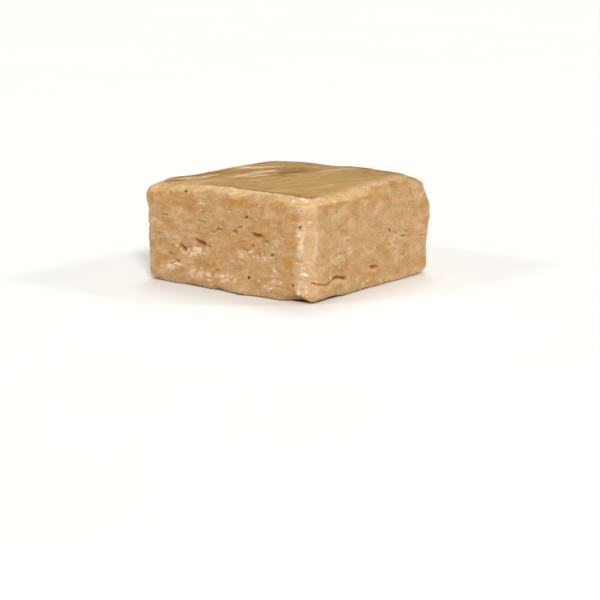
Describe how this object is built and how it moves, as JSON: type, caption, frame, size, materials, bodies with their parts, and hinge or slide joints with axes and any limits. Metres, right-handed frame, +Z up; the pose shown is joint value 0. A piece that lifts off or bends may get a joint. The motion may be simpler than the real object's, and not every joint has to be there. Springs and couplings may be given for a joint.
{
  "type": "fudge cube",
  "caption": "Square block of soft fudge cut from a slab, with bulging torn sides, rounded rims and a smooth poured top, resting on its flat base.",
  "frame": {"origin": "middle of the base, on the surface that the piece rests on", "axes": "+Z up through the poured top, +X to the right along the front side, -Y out of the front side"},
  "size_m": [0.0444, 0.0438, 0.0214],
  "materials": {
    "fudge": "soft fudge: light tan, waxy and a little translucent, fine sugar grain, darker and glossier poured top"
  },
  "bodies": {
    "root": {"fudge_block": "fudge"}
  },
  "joints": []
}
